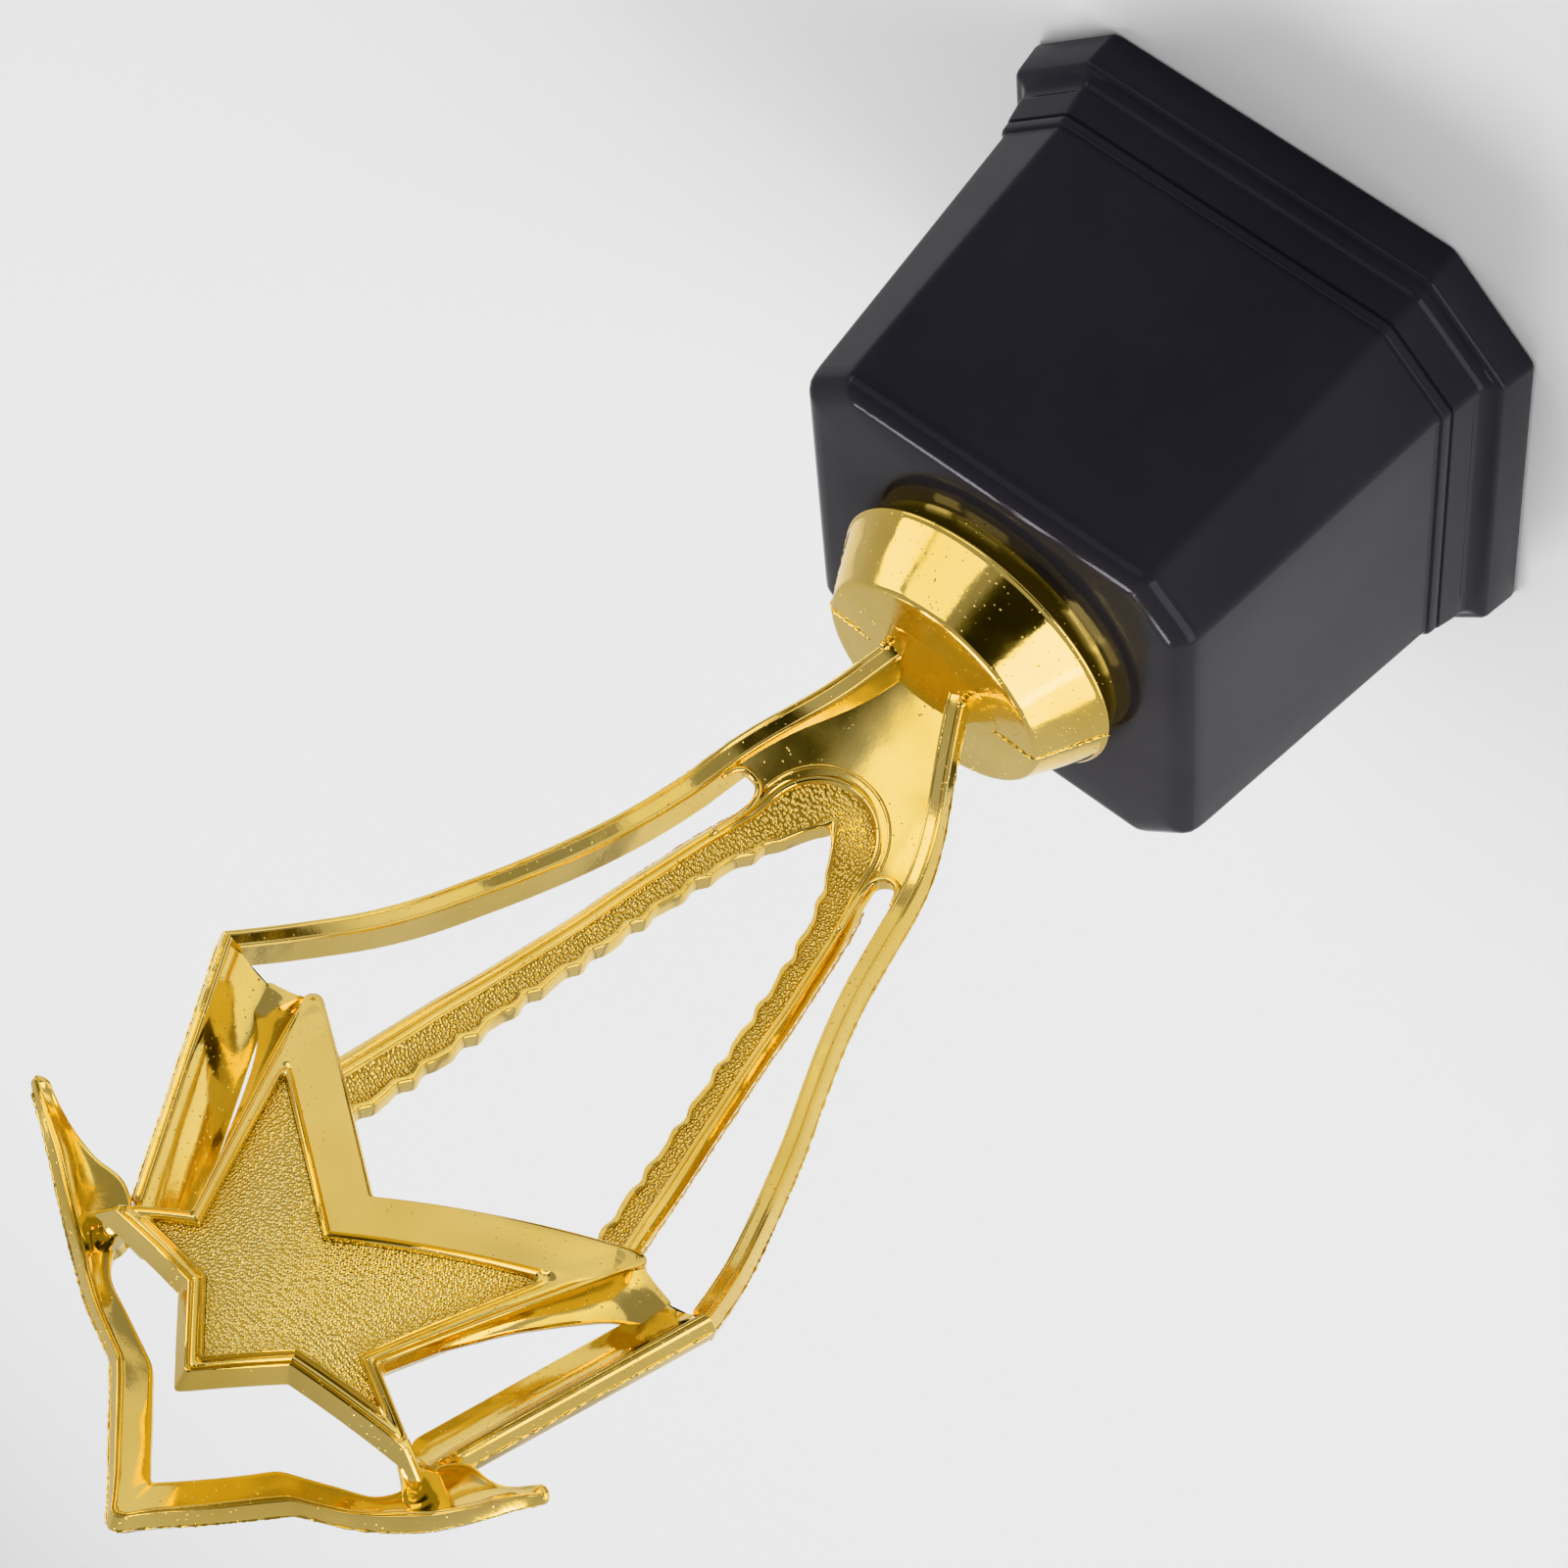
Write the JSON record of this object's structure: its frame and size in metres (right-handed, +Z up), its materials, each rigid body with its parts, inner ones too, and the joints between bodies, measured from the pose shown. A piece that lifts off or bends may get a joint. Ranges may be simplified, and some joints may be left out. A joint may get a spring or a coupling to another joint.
{
  "type": "star trophy",
  "caption": "Award figure of an openwork frame with a raised star, on a round collar and a black octagonal stepped base.",
  "frame": {"origin": "centre of the underside, on the surface that the trophy stands on", "axes": "+Z up along the trophy's height, front of the base towards -Y, +X to the viewer's right"},
  "size_m": [0.0711, 0.07, 0.1935],
  "materials": {
    "gold_bright": "bright gold plating over moulded plastic",
    "gold_textured": "gold plating over a pebbled moulded surface",
    "black_base": "satin to gloss black moulded plastic",
    "steel_fixing": "plain zinc-plated screw and washer"
  },
  "bodies": {
    "root": {"base_shell": "black_base", "base_cover": "black_base", "fixing_screw": "steel_fixing", "fixing_washer": "steel_fixing", "collar": "gold_bright", "web_panel": "gold_bright", "star_body": "gold_bright", "star_panel": "gold_textured", "rib_left": "gold_bright", "rib_right": "gold_bright", "band_left": "gold_textured", "band_right": "gold_textured", "post_left": "gold_bright", "post_right": "gold_bright", "crown_left": "gold_bright", "crown_right": "gold_bright", "wing_left": "gold_bright", "wing_right": "gold_bright"}
  },
  "joints": []
}
